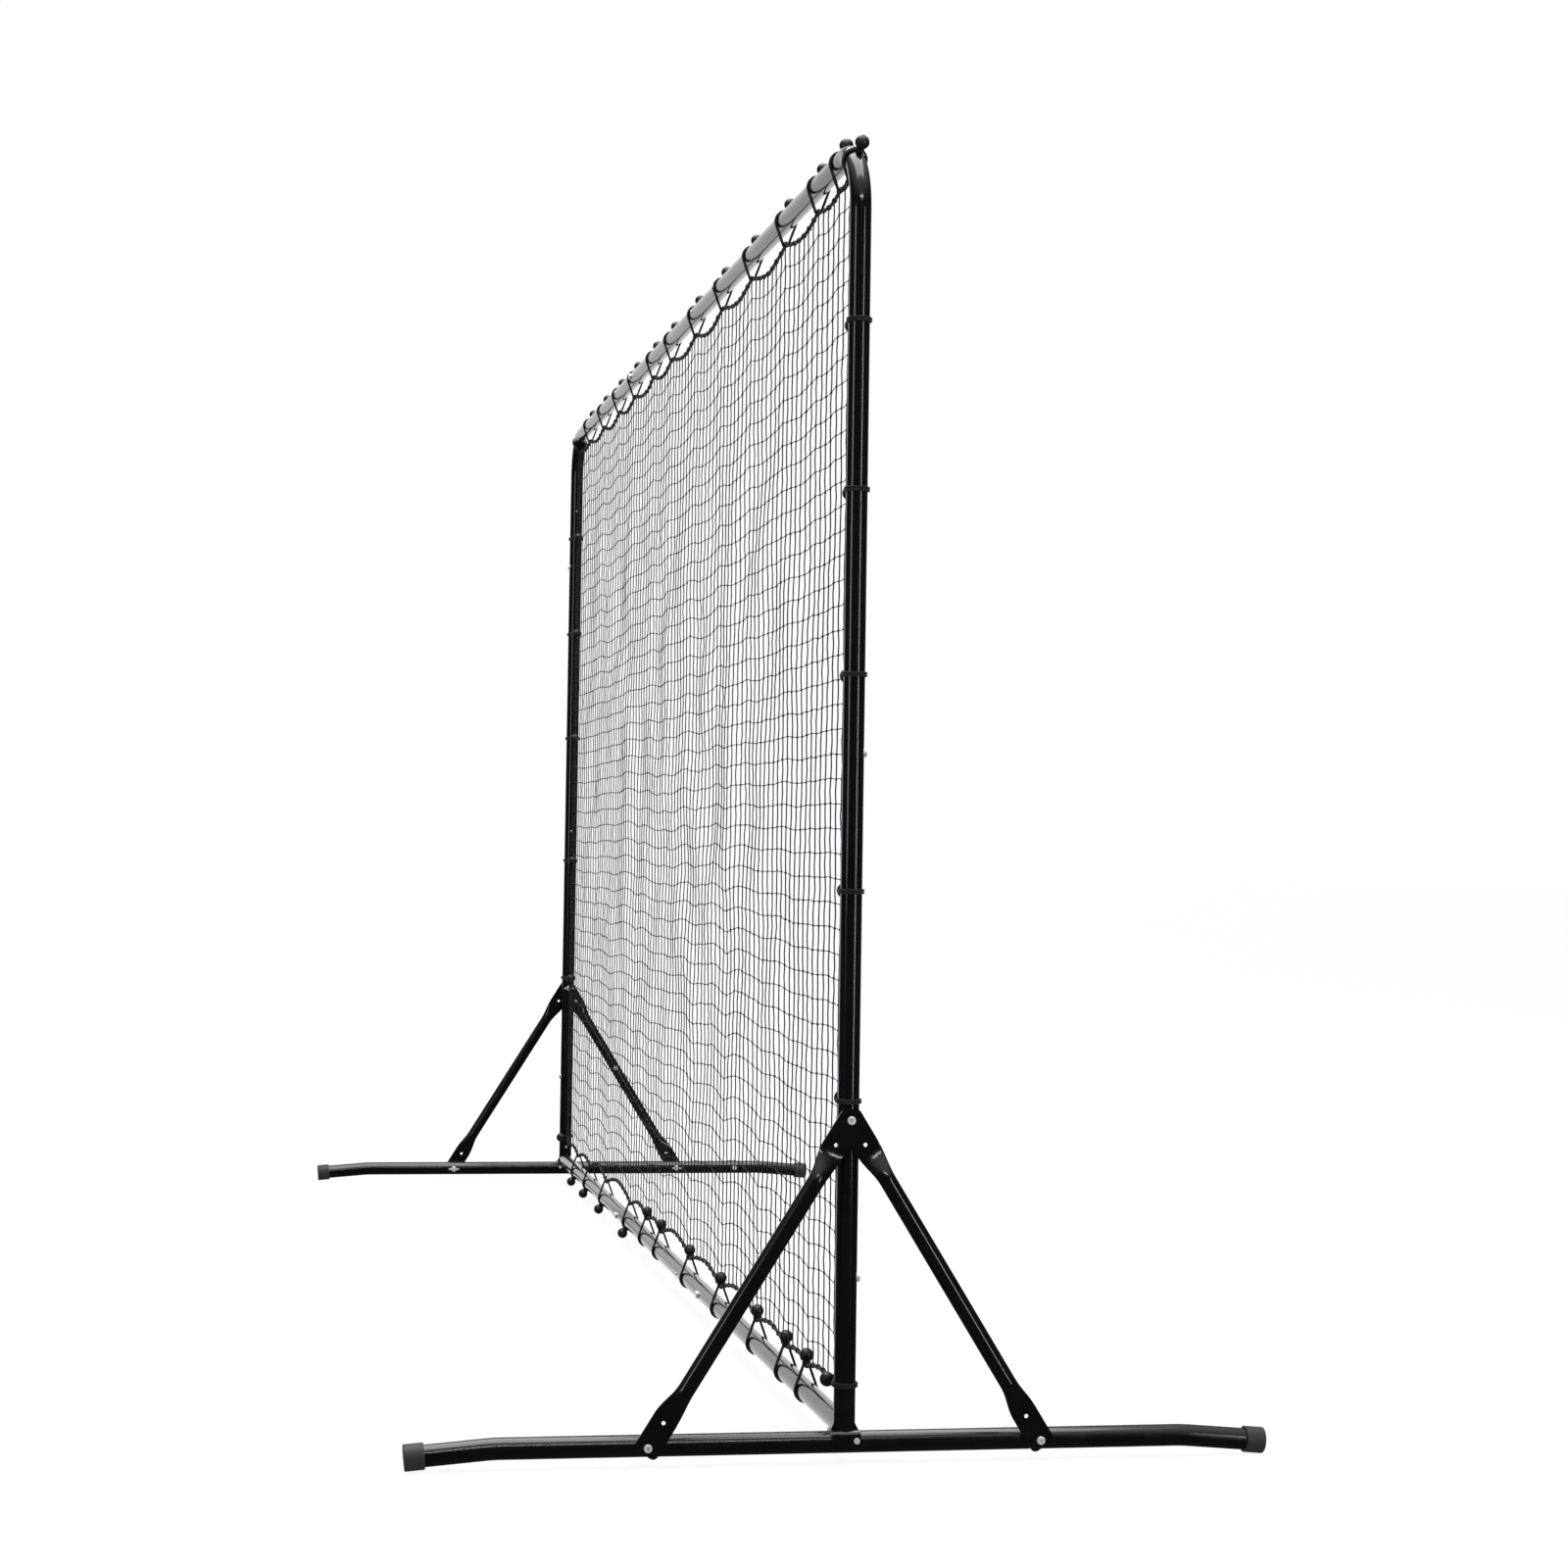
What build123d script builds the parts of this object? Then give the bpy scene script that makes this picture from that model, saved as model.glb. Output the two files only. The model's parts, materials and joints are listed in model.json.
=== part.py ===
from build123d import *
import math
import os

# Pitch back rebounder: a round-tube rectangle that stands upright on two foot tubes, braced front
# and rear, with a square-mesh net laced into it by ball bungees.
# X runs along the net, -Y is the side the ball comes from, Z is up. The origin is on the floor,
# midway between the two feet. "right" is the +X end, "front" is the -Y side. All sizes are mm.

# Overall sizes
frame_width = 3624.0  # between the centre lines of the two uprights
frame_height = 2144.0  # from the floor to the top of the top rail

# Frame tubes and the sleeves inside their joints
tube_od = 35.0
tube_wall = 1.5
sleeve_wall = 1.5
sleeve_play = 0.2  # radial play of a sleeve in its tube
corner_bend = 110.0  # centre-line radius of a top corner
corner_leg = 234.0  # from a top corner's apex to either of its ends
upright_seam = 1044.0  # height of the joint between lower and upper upright
rail_rise = 23.3  # centre line of the bottom rail above the foot's
bottom_stub = 192.0  # bottom corner's rail stub, from the upright's centre line
seat_rise = 21.0  # joint between bottom corner and lower upright, above the bottom rail's centre line
rail_seams = (0.416, 0.742)  # joints of both rails, as shares of the width from the right end
sleeve_reach = 75.0  # how far a sleeve goes past its joint
bolt_cover = 15.0  # sleeve past a rail bolt
upper_reach = 112.5  # the same, above the middle joint of an upright
lower_reach = 151.5  # the same, below the upper joint of an upright
spigot_top = 315.0  # top of the bottom corner's spigot
joint_gap = 0.2  # end gap between two tubes that meet

# Feet and their caps
foot_half_length = 702.0  # to the outer face of a cap
foot_bend_place = 563.0  # from the middle of the foot to the start of its bent end
foot_droop = 4.7  # degrees that each end bends down
foot_bend_radius = 300.0
cap_wall = 3.5
cap_length = 32.0
cap_end_wall = 3.0
cap_play = 0.1
cap_flat = 0.8  # depth of the flat that the cap stands on

# Saddle of the bottom corner over the foot
saddle_wall = 2.5
saddle_play = 0.2
saddle_margin = 7.0  # saddle past the axis of its bolt
saddle_skirt = 2.0  # how far the saddle comes down past the foot's centre line
saddle_round = 8.0
gusset_thickness = 6.0
gusset_rise = 10.0

# Braces
brace_od = 28.0
brace_wall = 1.4
brace_foot_place = 320.0  # foot bolt from the middle of the foot
brace_top_height = 545.0
brace_end_margin = 12.0  # plate past its bolt hole
brace_corner = 9.0
brace_flat = 53.0  # length of full flat past the bolt hole
brace_taper = 58.0  # length over which the flat becomes round
brace_stages = ((0.36, 0.36), (0.7, 0.8))  # along the taper: share of its length, share of full height
spare_hole_place = 46.0  # spare hole from the bolt hole
spare_hole_radius = 3.3
plate_gap = 0.3

# Fasteners
pivot_radius = 4.0
running_play = 0.05  # radial play on a pivot
clearance = 0.3  # radial play of every other bolt hole
pivot_head_radius = 6.7
pivot_head_height = 4.5
pivot_head_round = 1.5
socket_radius = 2.6
socket_depth = 2.5
wing_hub_radius = 7.5
wing_hub_length = 8.0
wing_hub_round = 1.5
wing_span = 30.0
wing_height = 11.0
wing_thickness = 3.0
wing_tip_round = 3.6
pivot_tip = 2.5  # bolt left showing past the wing nut
section_bolt_radius = 3.0
section_head_radius = 7.5
section_head_height = 4.0
section_grip = 9.0
spare_head_radius = 6.0
saddle_bolt_radius = 2.5
saddle_head_radius = 4.8
saddle_head_height = 3.0
saddle_nut_height = 3.9
saddle_bolt_inset = 1.0  # axis inside the side of the upright
saddle_bolt_rise = 5.0  # above the foot's centre line
button_radius = 3.2
button_proud = 2.5
button_nose_round = 2.0
button_flange = 5.0
button_flange_thickness = 1.5
button_flange_drop = 1.0  # flange from the inside of the sleeve
right_bolt_heights = (293.0, 1134.0)  # section bolts, rear face of the right upright
left_low_bolt = 293.0  # section bolt, front face of the left upright
left_bolt_drop = 137.5  # its upper one, below the joint with the top corner
button_steps = (16.0, -50.0, 22.5)  # spring buttons on the uprights, from their three joints
button_offset = 45.0  # spring button from a rail joint
rail_bolt_share = 0.0621  # rail bolt from a rail joint, as a share of the width
spare_bolt_share = 0.55  # spare bolt on the left rear brace, share of its length from the foot
spare_bolt_place = 490.0  # spare bolt on the left foot, rear of the upright

# Net, border rope and bungees
net_thickness = 1.6
rope_radius = 3.0
rope_corner = 60.0
rope_inset_rail = 42.0  # rope from a rail's centre line
rope_inset_side = 36.0  # rope from an upright's centre line
bungee_cord = 4.0
bungee_width = 8.0  # a doubled cord, side by side
bungee_play = 0.05
bungee_bend_play = 0.7  # the same, on the bent tube of a top corner
bungee_bend_rise = 57.0  # degrees round that bend from the upright
ball_radius = 12.0
ball_bite = 1.0  # how far a ball sits over its cord
top_stations = (0.042, 0.0915, 0.17, 0.26, 0.35, 0.439, 0.53, 0.6045, 0.689, 0.765, 0.844, 0.923)
bottom_stations = (0.081, 0.129, 0.2026, 0.308, 0.4105, 0.5165, 0.5747, 0.647, 0.765, 0.85, 0.92)
side_stations = (0.0328, 0.2506, 0.4128, 0.5817, 0.7265, 0.8597)  # from the bottom rail to the top one
hanging_share = 0.62  # bottom stations past this share have their balls under the rail
back_turn = 165.0  # degrees from the rope round the tube to a ball on its back
under_turn = 145.0  # the same, to a ball under the bottom rail

# Worked out from the sizes above
half_width = frame_width / 2
tube_radius = tube_od / 2
top_rail_height = frame_height - tube_radius
corner_seam = top_rail_height - corner_leg
sleeve_radius = tube_radius - tube_wall - sleeve_play
cap_radius = tube_radius + cap_wall
droop = math.radians(foot_droop)
foot_drop = (foot_half_length - foot_bend_place) * math.tan(droop)
foot_height = foot_drop + cap_radius / math.cos(droop) - cap_flat
bottom_rail_height = foot_height + rail_rise
corner_seat = bottom_rail_height + seat_rise
upright_joints = (corner_seat, upright_seam, corner_seam)
button_heights = tuple(joint + step for joint, step in zip(upright_joints, button_steps))
left_bolt_heights = (left_low_bolt, corner_seam - left_bolt_drop)
rail_bolt_offset = rail_bolt_share * frame_width
long_reach = rail_bolt_offset + bolt_cover
saddle_bolt_place = tube_radius - saddle_bolt_inset
saddle_length = 2 * (saddle_bolt_place + saddle_margin)
plate_thickness = 2 * brace_wall
plate_layer = plate_thickness + plate_gap
inner_plate = tube_radius + plate_gap
bolt_hole_radius = pivot_radius + clearance
wing_seat = tube_radius + plate_gap
SIDES = {"right": 1, "left": -1}
ENDS = {"front": -1, "rear": 1}
OUT = (1, 0, 0)


def rod(start, end, radius):
    """Solid round bar between two points."""
    span = Vector(*end) - Vector(*start)
    bar = Cylinder(radius, span.length, align=(Align.CENTER, Align.CENTER, Align.MIN))
    return Plane(origin=start, z_dir=span) * bar


def tube(start, end, radius, wall):
    """Straight hollow tube between two points."""
    return rod(start, end, radius) - rod(start, end, radius - wall)


def moved(point, direction, distance):
    """Point at a distance from another along a direction."""
    return tuple(p + d * distance for p, d in zip(point, direction))


def drilled(solid, fasteners, radius):
    """Solid with a round hole for each fastener, given as (point on the tube's axis, direction)."""
    for point, direction in fasteners:
        solid -= rod(point, moved(point, direction, tube_od), radius)
    return solid


def rail_x(share):
    """X at a share of the width from the right upright."""
    return half_width - share * frame_width


def upright_buttons(sign):
    return [((sign * half_width, 0, z), (-sign, 0, 0)) for z in button_heights]


def upright_bolts(sign):
    heights = right_bolt_heights if sign > 0 else left_bolt_heights
    return [((sign * half_width, 0, z), (0, sign, 0)) for z in heights]


def rail_buttons(height):
    return [((rail_x(s) - button_offset, 0, height), (0, -1, 0)) for s in rail_seams]


def rail_bolts(height):
    return [((rail_x(s) + rail_bolt_offset, 0, height), (0, -1, 0)) for s in rail_seams]


def fitted(solid, buttons, bolts):
    """Tube or sleeve with the holes of its spring buttons and section bolts."""
    return drilled(drilled(solid, buttons, button_radius + clearance), bolts, section_bolt_radius + clearance)


# Frame tubes

def top_corner(sign):
    """Bent tube between an upright and the top rail."""
    x = sign * half_width
    apex_run = corner_leg - corner_bend
    turn = x - sign * corner_bend
    low = (x, 0, corner_seam)
    bend_start = Vector(x, 0, corner_seam + apex_run)
    bend_end = Vector(turn, 0, top_rail_height)
    path = Line(low, bend_start)
    path += TangentArc(bend_start, bend_end, tangent=(0, 0, 1))
    path += Line(bend_end, (x - sign * corner_leg, 0, top_rail_height))
    section = Plane(origin=low, z_dir=(0, 0, 1)) * (Circle(tube_radius) - Circle(tube_radius - tube_wall))
    return fitted(sweep(section, path), upright_buttons(sign)[-1:], [])


def upright(sign, low, high):
    x = sign * half_width
    blank = tube((x, 0, low + joint_gap), (x, 0, high), tube_radius, tube_wall)
    bores = [f for f in upright_buttons(sign) if low < f[0][2] < high]
    bolts = [f for f in upright_bolts(sign) if low < f[0][2] < high]
    blank = fitted(blank, bores, bolts)
    if low < brace_top_height < high:
        blank -= rod((x - tube_od, 0, brace_top_height), (x + tube_od, 0, brace_top_height), bolt_hole_radius)
    return blank


def upright_sleeve(sign, low, high):
    x = sign * half_width
    blank = tube((x, 0, low), (x, 0, high), sleeve_radius, sleeve_wall)
    return fitted(blank, upright_buttons(sign), upright_bolts(sign))


def rail(right_x, left_x, height):
    """Straight length of rail, with a gap at its right end."""
    blank = tube((right_x - joint_gap, 0, height), (left_x, 0, height), tube_radius, tube_wall)
    buttons = [f for f in rail_buttons(height) if left_x < f[0][0] < right_x]
    bolts = [f for f in rail_bolts(height) if left_x < f[0][0] < right_x]
    return fitted(blank, buttons, bolts)


def rail_lengths(end_leg, height):
    """The three lengths of a rail, from the right end to the left."""
    cuts = [half_width - end_leg] + [rail_x(s) for s in rail_seams] + [end_leg - half_width]
    return [rail(cuts[i], cuts[i + 1] + (joint_gap if i == 2 else 0), height) for i in range(3)]


def rail_sleeves(height):
    sleeves = []
    for share in rail_seams:
        x = rail_x(share)
        blank = tube((x + long_reach, 0, height), (x - sleeve_reach, 0, height), sleeve_radius, sleeve_wall)
        sleeves.append(fitted(blank, rail_buttons(height), rail_bolts(height)))
    return sleeves


def corner_sleeves():
    """Short sleeves between the top corners and the top rail."""
    sleeves = []
    for sign in SIDES.values():
        seam = sign * (half_width - corner_leg)
        reach = sign * sleeve_reach
        start, end = (seam + reach, 0, top_rail_height), (seam - reach, 0, top_rail_height)
        sleeves.append(tube(start, end, sleeve_radius, sleeve_wall))
    return sleeves


# Bottom corners and feet

def saddle_block(x):
    """Block that straddles the foot, rounded along its top edges."""
    half = tube_radius + saddle_play + saddle_wall
    size = (2 * half, saddle_length, half + saddle_skirt)
    block = Pos(x, 0, foot_height + half) * Box(*size, align=(Align.CENTER, Align.CENTER, Align.MAX))
    return fillet(block.edges().filter_by(Axis.Y).group_by(Axis.Z)[-1], saddle_round)


def saddle_bolt(sign):
    """Point on the saddle bolt's axis: the two ends of the frame are half a turn apart."""
    return (sign * half_width, sign * saddle_bolt_place, foot_height + saddle_bolt_rise)


def bottom_corner(sign):
    """Saddle, upright stub and rail stub welded together, with a spigot for each tube."""
    x = sign * half_width
    base = (x, 0, foot_height)
    rail_start = (x, 0, bottom_rail_height)
    stub_end = (x - sign * bottom_stub, 0, bottom_rail_height)
    spigot_end = (x - sign * (bottom_stub + sleeve_reach), 0, bottom_rail_height)
    body = saddle_block(x)
    gusset_top = foot_height + tube_radius + saddle_wall + gusset_rise
    outline = Polyline(
        (-saddle_length / 2, foot_height),
        (saddle_length / 2, foot_height),
        (saddle_length / 2, foot_height + tube_radius),
        (tube_radius, gusset_top),
        (-tube_radius, gusset_top),
        (-saddle_length / 2, foot_height + tube_radius),
        close=True,
    )
    gusset = Pos(x, 0, 0) * extrude(Plane.YZ * make_face(outline), gusset_thickness / 2, both=True)
    body += gusset
    body += rod(base, (x, 0, corner_seat), tube_radius)
    body += rod(rail_start, stub_end, tube_radius)
    body += rod(base, (x, 0, spigot_top), sleeve_radius)
    body += rod(rail_start, spigot_end, sleeve_radius)
    bore = sleeve_radius - sleeve_wall
    body -= rod(rail_start, (x, 0, spigot_top), bore)
    body -= rod(rail_start, spigot_end, bore)
    seat_radius = tube_radius + saddle_play
    body -= rod((x, -saddle_length, foot_height), (x, saddle_length, foot_height), seat_radius)
    slot = Box(2 * seat_radius, 2 * saddle_length, tube_od, align=(Align.CENTER, Align.CENTER, Align.MAX))
    body -= Pos(x, 0, foot_height) * slot
    bolt = saddle_bolt(sign)
    body -= rod(moved(bolt, OUT, -tube_od), moved(bolt, OUT, tube_od), saddle_bolt_radius + clearance)
    return fitted(body, upright_buttons(sign)[:1], upright_bolts(sign)[:1])


def foot_path(x, inset):
    """Centre line of a foot, with its ends cut short by an inset."""
    reach = foot_half_length - inset
    end_height = foot_height - (reach - foot_bend_place) * math.tan(droop)
    return FilletPolyline(
        (x, -reach, end_height),
        (x, -foot_bend_place, foot_height),
        (x, foot_bend_place, foot_height),
        (x, reach, end_height),
        radius=foot_bend_radius,
    )


def foot(sign):
    """Foot tube with drooping ends, drilled for the saddle and the braces."""
    x = sign * half_width
    path = foot_path(x, cap_end_wall)
    section = Plane(origin=path @ 0, z_dir=path % 0) * (Circle(tube_radius) - Circle(tube_radius - tube_wall))
    body = sweep(section, path)
    bolt = saddle_bolt(sign)
    body -= rod(moved(bolt, OUT, -tube_od), moved(bolt, OUT, tube_od), saddle_bolt_radius + clearance)
    for end in ENDS.values():
        y = end * brace_foot_place
        body -= rod((x - tube_od, y, foot_height), (x + tube_od, y, foot_height), bolt_hole_radius)
    if sign < 0:
        spare = ((x, spare_bolt_place, foot_height), (1, 0, 0))
        body = drilled(body, [spare], section_bolt_radius + clearance)
    return body


def foot_cap(sign, end):
    """Push-on cap with a closed end and a small flat that stands on the floor."""
    x = sign * half_width
    tip = Vector(x, end * foot_half_length, foot_height - foot_drop)
    inward = Vector(0, -end * math.cos(droop), math.sin(droop))
    outer = Plane(origin=tip, z_dir=inward) * extrude(Circle(cap_radius), cap_length)
    outer = fillet(outer.edges().group_by(Axis.Y)[0 if end < 0 else -1], cap_end_wall / 2)
    mouth = Plane(origin=tip + inward * cap_end_wall, z_dir=inward)
    outer -= mouth * extrude(Circle(tube_radius + cap_play), cap_length)
    reach = 4 * cap_radius
    floor_cut = Box(reach, reach, reach, align=(Align.CENTER, Align.CENTER, Align.MAX))
    return outer - Pos(x, end * foot_half_length, 0) * floor_cut


# Braces

def pressed_width(height):
    """Width of the brace tube when it is pressed to a height."""
    return height + math.pi * (brace_od - height) / 2


def pressed(height, place):
    """Cross-section of the brace tube pressed to a height, its inner face kept in one plane."""
    plane = Plane(origin=(height / 2, 0, place), x_dir=(0, 1, 0), z_dir=(0, 0, 1))
    return plane * Ellipse(pressed_width(height) / 2, height / 2)


def brace_end():
    """Flattened end of a brace, with its bolt hole at the origin and the tube along +Z."""
    outline = Rectangle(pressed_width(plate_thickness), brace_flat + brace_end_margin)
    outline = fillet(outline.vertices().group_by(Axis.Y)[0], brace_corner)
    middle = (brace_flat - brace_end_margin) / 2
    face = Plane(origin=(0, 0, middle), x_dir=(0, 1, 0), z_dir=(1, 0, 0)) * outline
    stages = [(0, plate_thickness)] + [(place, brace_od * share) for place, share in brace_stages]
    stages.append((1, brace_od))
    sections = [pressed(height, brace_flat + place * brace_taper) for place, height in stages]
    return extrude(face, plate_thickness) + loft(sections)


def brace_ends(end, layer):
    """Centres of a right-hand brace's two bolt holes, on its inner face."""
    low = Vector(half_width + inner_plate, end * brace_foot_place, foot_height)
    high = Vector(half_width + inner_plate + layer, 0, brace_top_height)
    return low, high


def brace(end, layer):
    """Right-hand brace: end is -1 in front and 1 in the rear, layer is its offset at the top."""
    low, high = brace_ends(end, layer)
    along = high - low
    length = along.length
    straight = brace_flat + brace_taper
    half = brace_end()
    body = half + Pos(0, 0, length) * half.mirror(Plane.XY)
    axis = brace_od / 2
    body += tube((axis, 0, straight), (axis, 0, length - straight), axis, brace_wall)
    body = Plane(origin=low, x_dir=(1, 0, 0), z_dir=along) * body
    unit = along.normalized()
    across = Vector(tube_radius, 0, 0)
    low_radius = pivot_radius + running_play
    high_radius = pivot_radius + (running_play if layer else clearance)
    holes = [(low, low_radius), (high, high_radius)]
    holes += [(low + unit * spare_hole_place, spare_hole_radius)]
    holes += [(high - unit * spare_hole_place, spare_hole_radius)]
    for point, radius in holes:
        body -= rod(tuple(point - across), tuple(point + across), radius)
    return body


def sided(solid, sign):
    """Right-hand solid as it is, or its mirror image on the left."""
    return solid if sign > 0 else solid.mirror(Plane.YZ)


def spare_brace_seat():
    """Where the spare bolt sits on the inner side of the left rear brace."""
    low, high = brace_ends(ENDS["rear"], 0)
    point = low + (high - low) * spare_bolt_share
    return (-point.X, point.Y, point.Z)


# Fasteners

def pivot_head(seat_x, y, z):
    """Round bolt head with a hexagon socket, its seat facing -X."""
    head = rod((seat_x, y, z), (seat_x + pivot_head_height, y, z), pivot_head_radius)
    head = fillet(head.edges().group_by(Axis.X)[-1], pivot_head_round)
    socket_plane = Plane(origin=(seat_x + pivot_head_height, y, z), z_dir=(-1, 0, 0))
    return head - socket_plane * extrude(RegularPolygon(socket_radius, 6), socket_depth)


def foot_bolt(end):
    """Right-hand foot bolt, which is the pin that its brace turns on."""
    y = end * brace_foot_place
    seat = half_width + inner_plate + plate_thickness + plate_gap
    tip = half_width - wing_seat - wing_hub_length - pivot_tip
    return pivot_head(seat, y, foot_height) + rod((seat, y, foot_height), (tip, y, foot_height), pivot_radius)


def top_bolt_head():
    """Head end of a right-hand top bolt, which stays in the front brace's plate."""
    plate = half_width + inner_plate + plate_layer
    seat = plate + plate_thickness + plate_gap
    shank = rod((plate, 0, brace_top_height), (seat, 0, brace_top_height), pivot_radius)
    return pivot_head(seat, 0, brace_top_height) + shank


def top_bolt_shank():
    """Shank of a right-hand top bolt, through the upright to its wing nut."""
    tip = half_width - wing_seat - wing_hub_length - pivot_tip
    return rod((half_width + tube_radius, 0, brace_top_height), (tip, 0, brace_top_height), pivot_radius)


def wing_nut(y, z):
    """Right-hand wing nut on a pivot bolt, seated on the inner side of a tube."""
    seat = half_width - wing_seat
    hub = rod((seat, y, z), (seat - wing_hub_length, y, z), wing_hub_radius)
    hub = fillet(hub.edges().group_by(Axis.X)[0], wing_hub_round)
    blade = Plane.YZ * Rectangle(wing_span, wing_thickness)
    wings = Pos(seat - wing_hub_length + wing_height / 2, y, z) * extrude(blade, -wing_height)
    wings = fillet(wings.edges().filter_by(Axis.Z), wing_tip_round)
    nut = hub + wings
    bore = pivot_radius + running_play
    return nut - rod((seat + wing_height, y, z), (seat - 2 * wing_height, y, z), bore)


def section_bolt(point, direction):
    """Short bolt into a tube and its sleeve, with a head that hugs the tube."""
    proud = tube_radius + section_head_height
    head = rod(moved(point, direction, tube_radius / 2), moved(point, direction, proud), section_head_radius)
    sideways = (0, 0, 1) if point[0] in (half_width, -half_width) else (1, 0, 0)
    head -= rod(moved(point, sideways, -tube_od), moved(point, sideways, tube_od), tube_radius)
    start = moved(point, direction, tube_radius - section_grip)
    return head + rod(start, moved(point, direction, proud - section_head_height / 2), section_bolt_radius)


def spring_button(point, direction):
    """Round-nosed button through a tube and its sleeve, flanged on the inside."""
    flange_top = sleeve_radius - sleeve_wall - clearance - button_flange_drop
    flange_bottom = moved(point, direction, flange_top - button_flange_thickness)
    flange = rod(flange_bottom, moved(point, direction, flange_top), button_flange)
    nose = moved(point, direction, tube_radius + button_proud)
    pin = rod(flange_bottom, nose, button_radius)
    tip = pin.edges().sort_by_distance(Vector(*nose))[0]
    return flange + fillet(tip, button_nose_round)


def saddle_bolts():
    """Through bolts of both saddles, without their nuts."""
    bolts = []
    half = tube_radius + saddle_play + saddle_wall
    for sign in SIDES.values():
        out = (sign, 0, 0)
        axis = saddle_bolt(sign)
        tip = moved(axis, out, -half - 2 * saddle_head_height)
        shank = rod(tip, moved(axis, out, half), saddle_bolt_radius)
        head = rod(moved(axis, out, half), moved(axis, out, half + saddle_head_height), saddle_head_radius)
        bolts.append(shank + head)
    return bolts


def saddle_nuts():
    """Hexagon nuts on the inner ends of the saddle bolts."""
    nuts = []
    seat = tube_radius + saddle_play + saddle_wall
    for sign in SIDES.values():
        plane = Plane(origin=moved(saddle_bolt(sign), (sign, 0, 0), -seat), z_dir=(-sign, 0, 0))
        section = RegularPolygon(saddle_head_radius, 6) - Circle(saddle_bolt_radius + running_play)
        nuts.append(plane * extrude(section, saddle_nut_height))
    return nuts


def spare_bolt(point, seat):
    """Small round-headed bolt on the inner side of a left-hand tube, seat at its surface."""
    start = moved(point, OUT, seat - section_grip)
    head_start = moved(point, OUT, seat)
    shank = rod(start, head_start, section_bolt_radius)
    return shank + rod(head_start, moved(head_start, OUT, section_head_height), spare_head_radius)


# Net, border rope and bungees

def net_outline(margin):
    """Rounded rectangle through the border rope, made smaller by a margin."""
    low = bottom_rail_height + rope_inset_rail + margin
    high = top_rail_height - rope_inset_rail - margin
    width = 2 * (half_width - rope_inset_side - margin)
    plane = Plane(origin=(0, 0, (low + high) / 2), x_dir=(1, 0, 0), z_dir=(0, -1, 0))
    return plane * RectangleRounded(width, high - low, rope_corner - margin)


def net():
    return extrude(net_outline(0), net_thickness / 2, both=True)


def border_rope():
    path = net_outline(0).wire()
    section = Plane(origin=path @ 0, z_dir=path % 0) * Circle(rope_radius)
    return sweep(section, path)


def bungee_belt(place, towards_rope, along_tube, distance, play=bungee_play):
    """Doubled cord pulled round a tube and the border rope."""
    plane = Plane(origin=place, x_dir=towards_rope, z_dir=along_tube)
    inner, outer = play, play + bungee_cord

    def hull(margin):
        around_rope = Pos(distance, 0) * Circle(rope_radius + margin)
        return make_hull(Circle(tube_radius + margin).edges() + around_rope.edges())

    return plane * extrude(hull(outer) - hull(inner), bungee_width / 2, both=True)


def bungee_ball(place, towards_rope, sideways, along, across):
    """Ball at a place measured along the line to the rope and across it."""
    centre = moved(moved(place, towards_rope, along), sideways, across)
    return Pos(*centre) * Sphere(ball_radius)


def far_ball(degrees):
    """Ball seat on a cord's far side, as distances along the line to the rope and across it."""
    reach = tube_radius + bungee_play + bungee_cord + ball_radius - ball_bite
    return reach * math.cos(math.radians(degrees)), reach * math.sin(math.radians(degrees))


def near_ball(distance):
    """Ball seat against a cord's straight run, just short of the rope."""
    taper = (tube_radius - rope_radius) / distance
    along = distance - rope_radius
    run = tube_radius + bungee_play + bungee_cord - taper * along
    return along, run / math.cos(math.asin(taper)) + ball_radius - ball_bite


def inner_ball(distance):
    """Ball seat at the cord's turn round the rope, on the net's side."""
    return distance + rope_radius + bungee_play + bungee_cord + ball_radius - ball_bite, 0


def top_bungees():
    cords, balls = [], []
    for share in top_stations:
        place = (rail_x(share), 0, top_rail_height)
        cords.append(bungee_belt(place, (0, 0, -1), (1, 0, 0), rope_inset_rail))
        balls.append(bungee_ball(place, (0, 0, -1), (0, 1, 0), *far_ball(back_turn)))
    for sign in SIDES.values():
        place, inward, along, distance = corner_seat_line(sign)
        cords.append(bungee_belt(place, inward, along, distance, bungee_bend_play))
        balls.append(bungee_ball(place, inward, (0, 1, 0), *far_ball(back_turn)))
    return cords, balls


def corner_seat_line(sign):
    """Seat of a bungee on a top corner's bend, the way to the rope's corner, and how far that is."""
    turn = math.radians(bungee_bend_rise)
    outward = Vector(math.cos(turn), 0, math.sin(turn))
    bend_centre = Vector(half_width - corner_bend, 0, top_rail_height - corner_bend)
    rope_x = half_width - rope_inset_side - rope_corner
    offset = Vector(rope_x, 0, top_rail_height - rope_inset_rail - rope_corner) - bend_centre
    lead = offset.dot(outward)
    rope_reach = lead + math.sqrt(rope_corner**2 + lead**2 - offset.length**2)
    seat = bend_centre + outward * corner_bend
    inward = (-sign * outward.X, 0, -outward.Z)
    return (sign * seat.X, 0, seat.Z), inward, (-inward[2], 0, inward[0]), corner_bend - rope_reach


def bottom_bungees():
    cords, balls = [], []
    for share in bottom_stations:
        place = (rail_x(share), 0, bottom_rail_height)
        cords.append(bungee_belt(place, (0, 0, 1), (1, 0, 0), rope_inset_rail))
        seat = far_ball(under_turn) if share > hanging_share else inner_ball(rope_inset_rail)
        balls.append(bungee_ball(place, (0, 0, 1), (0, -1, 0), *seat))
    return cords, balls


def side_rope_inset(height):
    """How far the border rope runs from an upright's centre line at a height."""
    into_corner = max(bottom_rail_height + rope_inset_rail + rope_corner - height, 0)
    return rope_inset_side + rope_corner - math.sqrt(rope_corner**2 - into_corner**2)


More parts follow.
